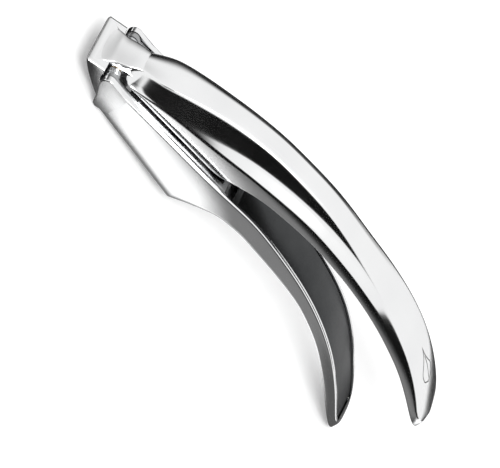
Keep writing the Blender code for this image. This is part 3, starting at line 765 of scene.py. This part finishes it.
# ---------------------------------------------------------------- turned pieces
def chamfered(radius, low, high, chamfer=0.2):
    """The profile of a solid bar with chamfered ends."""
    return [(0, low), (radius - chamfer, low), (radius, low + chamfer), (radius, high - chamfer),
            (radius - chamfer, high), (0, high)]


def turned_ring(name, at, inner, outer, low, high, chamfer=0.15):
    """A bush or spacer: its closed profile turned about a pin axis."""
    profile = [(inner, low + chamfer), (inner + chamfer, low), (outer - chamfer, low),
               (outer, low + chamfer), (outer, high - chamfer), (outer - chamfer, high),
               (inner + chamfer, high), (inner, high - chamfer)]
    shape = bmesh.new()
    rings = [[shape.verts.new((x, y, z)) for x, z in circle(at, radius)] for radius, y in profile]
    for first, second in zip(rings, rings[1:] + rings[:1]):
        for i in range(ROUND_SIDES):
            j = (i + 1) % ROUND_SIDES
            shape.faces.new((first[i], first[j], second[j], second[i]))
    return mesh_object(name, shape)


def make_hinge_pieces():
    pin = turned("hinge_pin_bar", HINGE_AT, chamfered(HINGE_PIN_RADIUS, HINGE_BLIND_END + GAP, PIN_END))
    stands_for(pin, "hinge_pin")
    cap_from = CAP_SEAT + GAP
    cap_to = cap_from + CAP_HEIGHT
    profile = [(0, PIN_END + GAP), (HINGE_PIN_RADIUS, PIN_END + GAP), (HINGE_PIN_RADIUS, cap_from),
               (CAP_RADIUS, cap_from), (CAP_RADIUS, cap_to - CAP_EDGE), (CAP_RADIUS - CAP_EDGE, cap_to),
               (0.9 * HINGE_PIN_RADIUS, cap_to), (0.8 * HINGE_PIN_RADIUS, cap_to - CAP_DIMPLE),
               (0, cap_to - CAP_DIMPLE)]
    stands_for(turned("hinge_pin_button", HINGE_AT, profile), "hinge_pin_cap")
    half = NECK_HALF_WIDTH - 0.2
    outer = HINGE_BORE_RADIUS + BUSH_WALL
    stands_for(turned_ring("hinge_bush_ring", HINGE_AT, HINGE_BORE_RADIUS, outer, -half, half),
               "hinge_bush")
    for name, side in (("near_hinge_spacer", -1), ("far_hinge_spacer", 1)):
        low, high = sorted((side * (NECK_HALF_WIDTH + GAP), side * (LUG_INNER - GAP)))
        ring = turned_ring(name + "_ring", HINGE_AT, HINGE_BORE_RADIUS, SPACER_RADIUS, low, high, 0.3)
        stands_for(ring, name)


# ---------------------------------------------------------------- plunger
def make_plunger_pieces():
    front = SIEVE_FROM + 0.2
    outline = [(front, hopper_line(front, PLUNGER_RISE)),
               (PLATE_BEND, hopper_line(PLATE_BEND, PLUNGER_RISE))]
    outline += PLATE_HEEL + [(front, hopper_line(front, PLUNGER_RISE + PLUNGER_PLATE))]
    press_plate = plate("plunger_body", outline, -PLUNGER_HALF_WIDTH, PLUNGER_HALF_WIDTH)
    knuckle = arc(PLUNGER_PIN_AT, KNUCKLE_RADIUS, -20, 200, 48)
    foot = [(x, hopper_line(x, PLUNGER_RISE + 1)) for x in STEM_FOOT]
    stem = plate("plunger_stem", knuckle + foot, -STEM_HALF_WIDTH, STEM_HALF_WIDTH)
    combine(press_plate, [stem], "UNION")
    bore = rod("stem_bore", PLUNGER_PIN_AT, PLUNGER_PIN_RADIUS + BUSH_WALL + 2 * GAP,
               -PAST_PLUNGER, PAST_PLUNGER)
    combine(press_plate, [bore], "DIFFERENCE")
    stands_for(soften(press_plate, 0.35), "plunger")
    inner = PLUNGER_PIN_RADIUS + GAP
    bush = turned_ring("plunger_bush_ring", PLUNGER_PIN_AT, inner, inner + BUSH_WALL,
                       -STEM_HALF_WIDTH, STEM_HALF_WIDTH)
    stands_for(bush, "plunger_bush")
    pin = turned("plunger_pin_bar", PLUNGER_PIN_AT, chamfered(PLUNGER_PIN_RADIUS, *PLUNGER_PIN_ENDS, 0.3))
    stands_for(pin, "plunger_pin")


# ---------------------------------------------------------------- basket
def basket_arm(name, side):
    outline = arc(HINGE_AT, LUG_RADIUS, 62, 282, 48) + rounded(LUG_ARM, [0, 4, 0, 0, 0])[1:]
    low, high = sorted((side * LUG_INNER, side * LUG_OUTER))
    return plate(name, outline, low, high)


def basket_section(inset, rise, top):
    """The cup's side outline, or that of the space inside it."""
    heel, back = BASKET_BACK
    front = BASKET_FRONT + inset
    rear = BASKET_REAR - 0.5 * inset
    corners = [(front, top), (front, hopper_line(front, rise)), (rear, hopper_line(rear, rise)),
               (heel[0] - inset, heel[1] + 0.6 * inset), (back[0] - inset, back[1]),
               (back[0] - inset, top)]
    return rounded(corners, [0, 0.8, 3, 1.5, 1, 0], 5)


def make_basket():
    basket = plate("basket_cup", basket_section(0, BASKET_FLOOR_RISE, BASKET_TOP),
                   -BASKET_OUTER, BASKET_OUTER)
    rim = plate("basket_rim", BASKET_RIM, -LUG_OUTER, LUG_OUTER)
    lip = plate("thumb_lip", rounded(THUMB_LIP, [0, 0, 2, 1, 0.4, 0.8, 0]),
                -THUMB_LIP_HALF_WIDTH, THUMB_LIP_HALF_WIDTH)
    combine(basket, [rim, lip, basket_arm("near_lug", -1), basket_arm("far_lug", 1)], "UNION")
    space = plate("basket_space", basket_section(BASKET_WALL, BASKET_FLOOR_RISE + LEDGE, 6),
                  -BASKET_INNER, BASKET_INNER)
    window = plate("basket_window", upright(WINDOW, WINDOW_TOP), -WINDOW_HALF_WIDTH, WINDOW_HALF_WIDTH)
    bore = rod("lug_bore", HINGE_AT, HINGE_BORE_RADIUS, -ACROSS, ACROSS)
    combine(basket, [space, soften(window, 1.0), bore], "DIFFERENCE")
    stands_for(soften(basket, 0.25, 2), "sieve_basket")


def make_sieve():
    ends = (SIEVE_FROM, SIEVE_TO)
    corners = [(x, hopper_line(x, SIEVE_RISE)) for x in ends]
    corners += [(x, hopper_line(x, SIEVE_RISE + SIEVE_THICKNESS)) for x in reversed(ends)]
    sieve = soften(plate("sieve_sheet", corners, -BASKET_INNER + GAP, BASKET_INNER - GAP), 0.15, 2)
    lean = math.atan2(hopper_line(1) - hopper_line(0), 1)
    shape = bmesh.new()
    for column in range(HOLE_COLUMNS):
        x = HOLE_MIDDLE + (column - (HOLE_COLUMNS - 1) / 2) * COLUMN_PITCH
        rows = LONG_ROW if column % 2 == 0 else SHORT_ROW
        for row in range(rows):
            y = (row - (rows - 1) / 2) * HOLE_PITCH
            place = Matrix.Translation((x, y, hopper_line(x, SIEVE_RISE)))
            place = place @ Matrix.Rotation(-lean, 4, "Y")
            bmesh.ops.create_cone(shape, cap_ends=True, segments=28, radius1=HOLE_RADIUS,
                                  radius2=HOLE_RADIUS, depth=6, matrix=place)
    combine(sieve, [mesh_object("sieve_holes", shape)], "DIFFERENCE")
    stands_for(sieve, "sieve_plate")


make_lower_lever()
make_insert("lower_insert_skin", "lower_handle_insert", lower_width, lower_rim, LOWER_SEAT, -1)
make_upper_lever()
make_clove_mark()
make_insert("upper_insert_skin", "upper_handle_insert", shoulder_width, upper_bottom, UPPER_SEAT, 1)
make_hinge_pieces()
make_plunger_pieces()
make_basket()
make_sieve()

# ---------------------------------------------------------------- studio
VIEW_RIGHT = Vector((0.670, 0.325, 0.667))
VIEW_DOWN = Vector((0.680, -0.629, -0.377))
VIEW_CENTRE = Vector((0, -16.9, 0)) + 52.34 * VIEW_RIGHT + 56.49 * VIEW_DOWN
PRESS_MIDDLE = Vector((95, 0, 5))
CAMERA_DISTANCE = 5.0
VIEW_WIDTH = 0.1887
SENSOR = 36.0
FLOOR_GLOW = 0.18
WORLD_STRENGTH = 0.95


def make_camera():
    forward = VIEW_RIGHT.cross(VIEW_DOWN).normalized()
    depth = (PRESS_MIDDLE - VIEW_CENTRE).dot(forward)
    target = placed(*(VIEW_CENTRE + forward * depth))
    data = bpy.data.cameras.new("camera")
    data.sensor_width = SENSOR
    data.lens = SENSOR * CAMERA_DISTANCE / VIEW_WIDTH
    data.clip_start, data.clip_end = 0.05, 20
    camera = bpy.data.objects.new("camera", data)
    bpy.context.scene.collection.objects.link(camera)
    right, down, ahead = facing(*VIEW_RIGHT), facing(*VIEW_DOWN), facing(*forward)
    turn = Matrix((right, -down, -ahead)).transposed().to_4x4()
    camera.matrix_world = Matrix.Translation(target - ahead * CAMERA_DISTANCE) @ turn
    bpy.context.scene.camera = camera


def make_floor():
    mesh = bpy.data.meshes.new("floor")
    shape = bmesh.new()
    bmesh.ops.create_grid(shape, x_segments=8, y_segments=8, size=3)
    shape.to_mesh(mesh)
    shape.free()
    floor = bpy.data.objects.new("floor", mesh)
    bpy.context.scene.collection.objects.link(floor)
    floor.location.z = -0.0002
    made, tree, shader = new_material("floor", (0.9, 0.9, 0.9), 0.6, 0.0)
    cloud = texture(tree, "ShaderNodeTexNoise", 3, Detail=2.0)
    tone = colour_between(tree, cloud.outputs["Fac"], (0.88, 0.88, 0.88), (0.92, 0.92, 0.92))
    tree.links.new(tone, shader.inputs["Base Color"])
    shader.inputs["Emission Color"].default_value = (1, 1, 1, 1)
    shader.inputs["Emission Strength"].default_value = FLOOR_GLOW
    mesh.materials.append(made)


def edge_fade(tree, coordinate, feather):
    """From 0 at a card's edge to 1 at this fraction of its width inside it."""
    inside = tree.nodes.new("ShaderNodeMath")
    inside.operation = "PINGPONG"
    inside.inputs[1].default_value = 0.5
    tree.links.new(coordinate, inside.inputs[0])
    fade = tree.nodes.new("ShaderNodeMapRange")
    fade.interpolation_type = "SMOOTHSTEP"
    fade.inputs["From Min"].default_value = 0
    fade.inputs["From Max"].default_value = max(feather, 0.001)
    tree.links.new(inside.outputs[0], fade.inputs["Value"])
    return fade.outputs["Result"]


def card(name, centre, across, up, brightness, feathers, strength=1.0):
    """A soft-edged studio card that only shows in reflections, from its centre and half sides."""
    centre, across, up = Vector(centre), Vector(across), Vector(up)
    corners = [centre - across - up, centre + across - up, centre + across + up, centre - across + up]
    mesh = bpy.data.meshes.new(name)
    mesh.from_pydata(corners, [], [(0, 1, 2, 3)])
    layer = mesh.uv_layers.new(name="card")
    for loop, place in zip(layer.data, ((0, 0), (1, 0), (1, 1), (0, 1))):
        loop.uv = place
    obj = bpy.data.objects.new(name, mesh)
    bpy.context.scene.collection.objects.link(obj)
    made = bpy.data.materials.new(name)
    made.use_nodes = True
    tree = made.node_tree
    tree.nodes.clear()
    glow = tree.nodes.new("ShaderNodeEmission")
    glow.inputs["Color"].default_value = (brightness, brightness, brightness, 1)
    clear = tree.nodes.new("ShaderNodeBsdfTransparent")
    coordinates = tree.nodes.new("ShaderNodeTexCoord")
    split = tree.nodes.new("ShaderNodeSeparateXYZ")
    tree.links.new(coordinates.outputs["UV"], split.inputs["Vector"])
    both = tree.nodes.new("ShaderNodeMath")
    both.operation = "MULTIPLY"
    tree.links.new(edge_fade(tree, split.outputs["X"], feathers[0]), both.inputs[0])
    tree.links.new(edge_fade(tree, split.outputs["Y"], feathers[1]), both.inputs[1])
    scaled = tree.nodes.new("ShaderNodeMath")
    scaled.operation = "MULTIPLY"
    scaled.inputs[1].default_value = strength
    tree.links.new(both.outputs[0], scaled.inputs[0])
    mix = tree.nodes.new("ShaderNodeMixShader")
    tree.links.new(scaled.outputs[0], mix.inputs["Fac"])
    tree.links.new(clear.outputs["BSDF"], mix.inputs[1])
    tree.links.new(glow.outputs["Emission"], mix.inputs[2])
    out = tree.nodes.new("ShaderNodeOutputMaterial")
    tree.links.new(mix.outputs["Shader"], out.inputs["Surface"])
    mesh.materials.append(made)
    obj.visible_camera = False
    obj.visible_diffuse = False
    obj.visible_shadow = False
    obj.visible_transmission = False


def softbox(name, place, aim, size, power):
    data = bpy.data.lights.new(name, "AREA")
    data.shape = "RECTANGLE"
    data.size, data.size_y = size
    data.energy = power
    light = bpy.data.objects.new(name, data)
    bpy.context.scene.collection.objects.link(light)
    light.location = place
    light.rotation_mode = "QUATERNION"
    light.rotation_quaternion = (Vector(aim) - Vector(place)).to_track_quat("-Z", "Y")


def make_studio():
    world = bpy.data.worlds.new("studio")
    world.use_nodes = True
    background = world.node_tree.nodes["Background"]
    background.inputs["Color"].default_value = (1, 1, 1, 1)
    background.inputs["Strength"].default_value = WORLD_STRENGTH
    bpy.context.scene.world = world
    bpy.context.scene.view_settings.view_transform = "Standard"
    softbox("key", (-0.3, -0.9, 1.2), (0, 0, 0), (0.9, 0.6), 12)
    card("near_floor_flag", (0, -0.66, 0.0005), (1.2, 0, 0), (0, 0.632, 0), 0.006, (0.05, 0.034))
    card("near_wall_flag", (0, -1.25, 0.10), (1.6, 0, 0), (0, 0, 0.27), 0.006, (0.05, 0.25))
    card("far_floor_flag", (-0.45, 0.6, 0.0005), (1.1, 0, 0), (0, 0.52, 0), 0.006, (0.1, 0.04))
    card("far_wall_flag", (-0.45, 1.1, 0.155), (1.1, 0, 0), (0, 0, 0.415), 0.006, (0.1, 0.43))
    card("left_wall_flag", (-1.3, 0.9, 0.25), (0, 0.9, 0), (0, 0, 0.55), 0.02, (0.2, 0.4))
    card("head_flag", (-0.132, -0.03, 0.0006), (0.05, 0, 0), (0, 0.016, 0), 0.006, (0.1, 0.1))
    card("front_flag", (-0.102, -0.03, 0.0007), (0.045, 0, 0), (0, 0.04, 0), 0.06, (0.45, 0.1), 0.85)
    card("contact_flag", (-0.04, -0.016, 0.0008), (0.09, 0, 0), (0, 0.0095, 0), 0.04, (0.1, 0.5), 0.85)
    card("handle_floor_card", (0.08, -0.045, 0.0009), (0.10, 0, 0), (0, 0.028, 0), 0.22, (0.15, 0.2))
    card("tip_floor_card", (0.115, 0.005, 0.0011), (0.060, 0, 0), (0, 0.060, 0), 0.10, (0.25, 0.12))
    card("hinge_flag", (-0.085, 0.040, 0.0006), (0.045, 0, 0), (0, 0.045, 0), 0.006, (0.1, 0.1))
    card("head_shade_flag", (-0.150, 0.045, 0.040), (0.045, 0.0, 0.0), (0, 0.045, -0.045), 0.35,
         (0.5, 0.4), 0.6)
    card("lens_flag", (-0.30, -0.36, 0.30), (0.136, -0.084, 0), (0.047, 0.076, 0.132), 0.03,
         (0.3, 0.3))


make_camera()
make_floor()
make_studio()
